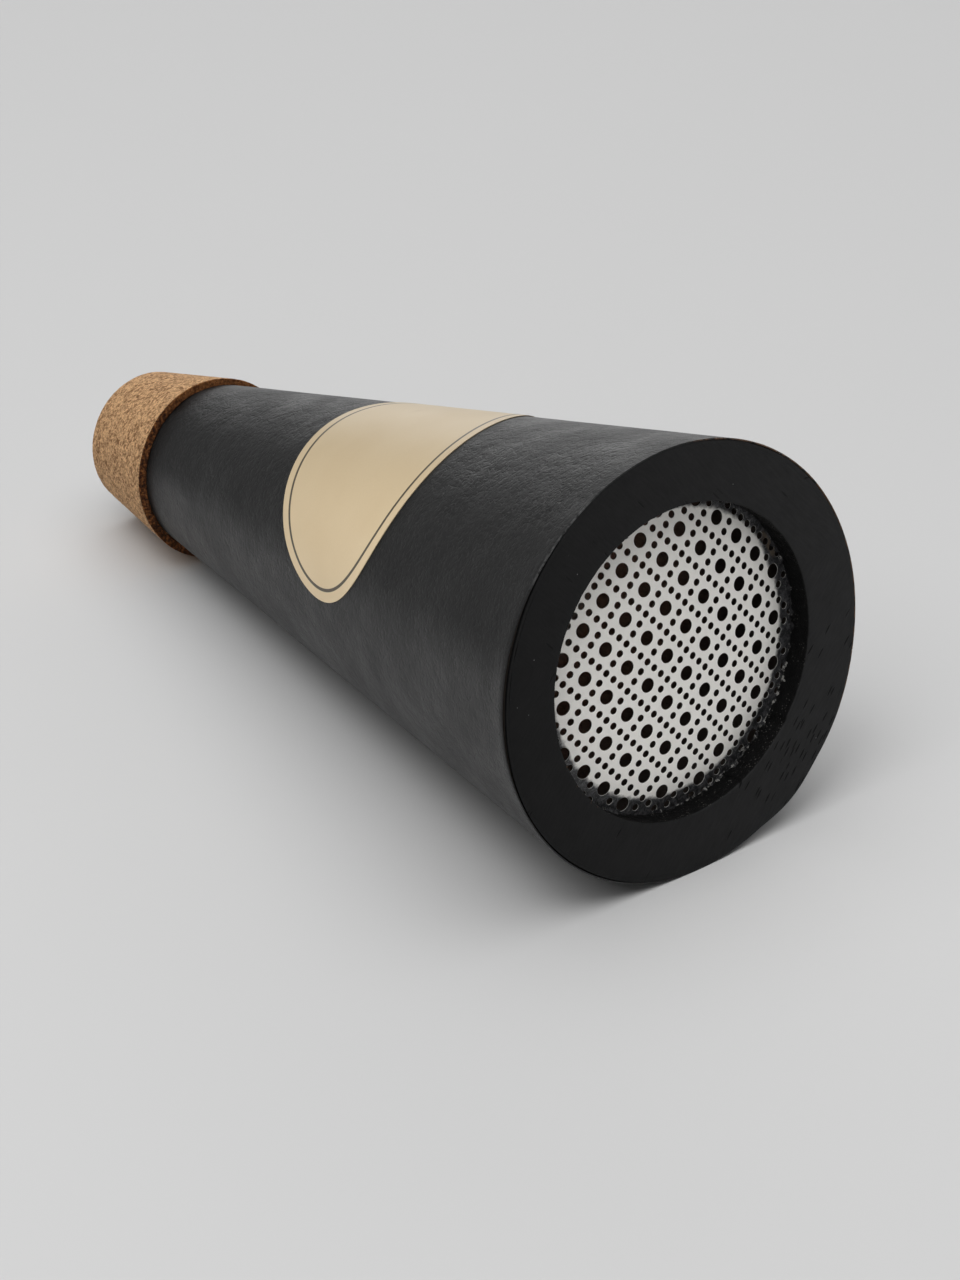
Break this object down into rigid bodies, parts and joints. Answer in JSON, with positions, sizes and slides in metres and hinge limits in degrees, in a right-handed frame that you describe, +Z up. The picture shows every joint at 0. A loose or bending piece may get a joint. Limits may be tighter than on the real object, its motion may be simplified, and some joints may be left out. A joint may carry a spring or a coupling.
{
  "type": "trumpet mute",
  "caption": "Long hollow cone that plugs a trumpet's bell: cork collar at the narrow end, wooden ring and domed perforated metal grille at the wide end.",
  "frame": {"origin": "on the surface the mute lies on, under the middle of its bounding box", "axes": "+Z up; +X along the mute towards its wide end, seen from above. The mute lies on its rim and on the front edge of its cork, so its own axis rises 8.0 degrees towards +X."},
  "size_m": [0.2072, 0.0926, 0.0918],
  "materials": {
    "leatherette": "satin black, fine wrinkled grain",
    "fibreboard": "matt brown board",
    "stained_wood": "matt black stain, open pores",
    "aluminium_sheet": "pale satin sheet",
    "black_glue": "dull black",
    "cork": "fine granulated cork",
    "felt": "pressed felt",
    "label_paper": "cream, satin"
  },
  "bodies": {
    "root": {"cone_cover": "leatherette", "cone_shell": "fibreboard", "end_ring": "stained_wood", "grille_plate": "aluminium_sheet", "grille_adhesive": "black_glue", "cork_collar": "cork", "damping_sleeve": "felt", "label_oval": "label_paper"}
  },
  "joints": []
}
